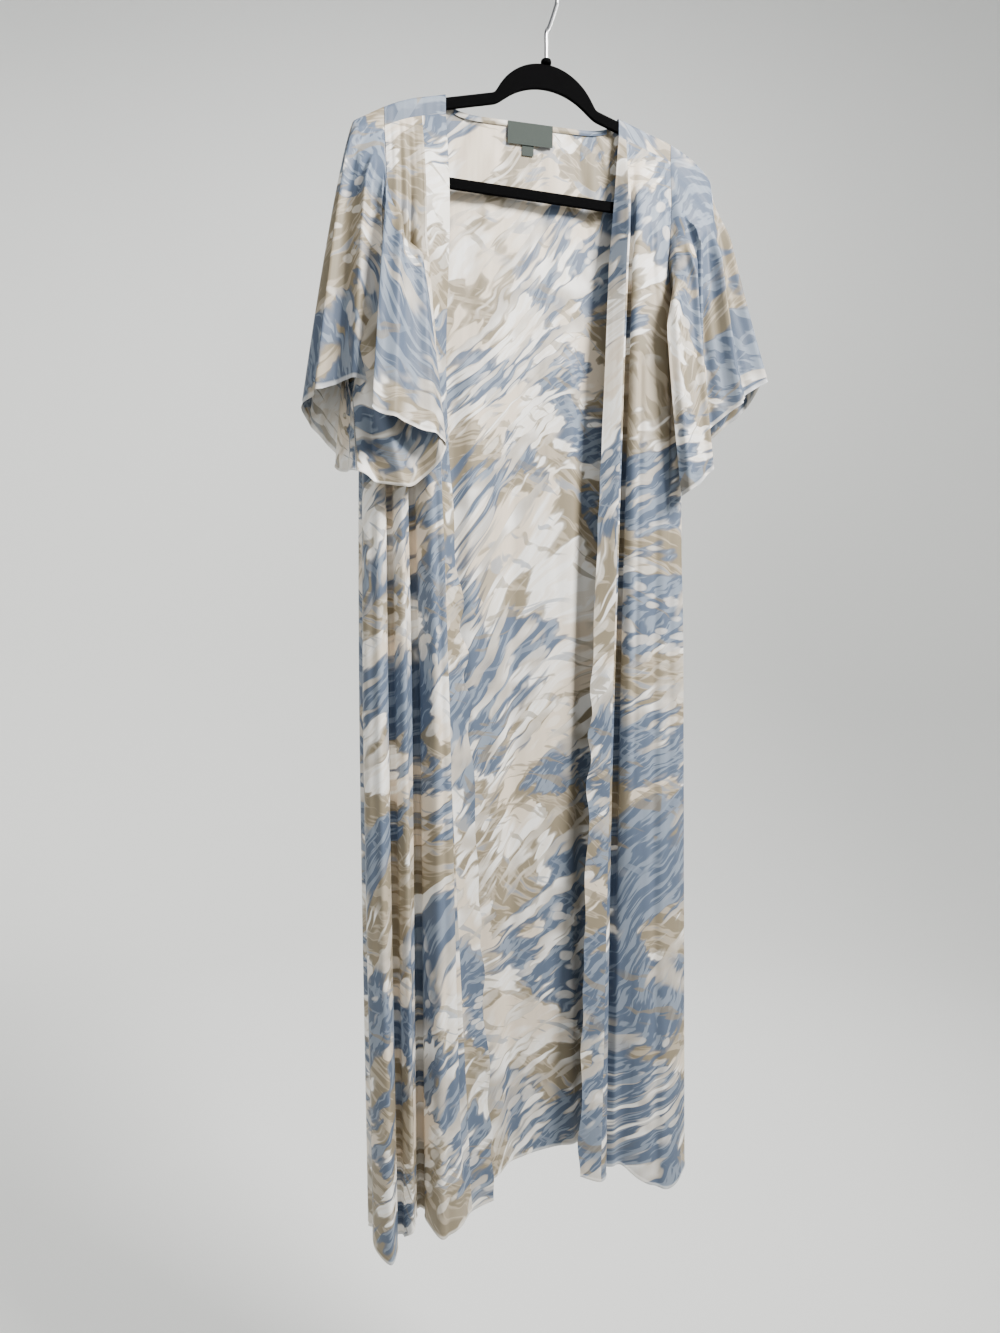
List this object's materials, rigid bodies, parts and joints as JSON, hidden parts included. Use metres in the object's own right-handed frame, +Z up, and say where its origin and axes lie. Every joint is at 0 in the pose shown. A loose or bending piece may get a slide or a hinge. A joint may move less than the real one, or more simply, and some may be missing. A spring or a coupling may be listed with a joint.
{
  "type": "duster coat on a hanger",
  "caption": "Long open-front duster coat in a light printed cloth with flared flutter sleeves, hanging on a slim flat hanger with a wire hook.",
  "frame": {"origin": "inside of the hook's crown, where the hook rests on a rod or peg", "axes": "+Z up, -Y out of the front of the coat, +X towards the wearer's left; the hanger lies in the plane y = 0"},
  "size_m": [0.6015, 0.1276, 1.5044],
  "materials": {
    "printed_cloth": "light satin-faced crepe with a soft abstract print in ivory, dusty blue and taupe",
    "band_cloth": "the same printed cloth, cut as a narrow strip",
    "label_weave": "plain grey-green woven tape, blank",
    "black_flock": "black velvet flock over plastic",
    "bright_wire": "bright plated wire"
  },
  "bodies": {
    "root": {"back": "printed_cloth", "front_right": "printed_cloth", "front_left": "printed_cloth", "band_right": "band_cloth", "band_left": "band_cloth", "neck_binding": "band_cloth", "sleeve_right": "printed_cloth", "sleeve_left": "printed_cloth", "neck_label": "label_weave", "size_tab": "label_weave", "hanger_body": "black_flock", "hanger_collar": "black_flock", "hanger_hook": "bright_wire"}
  },
  "joints": []
}
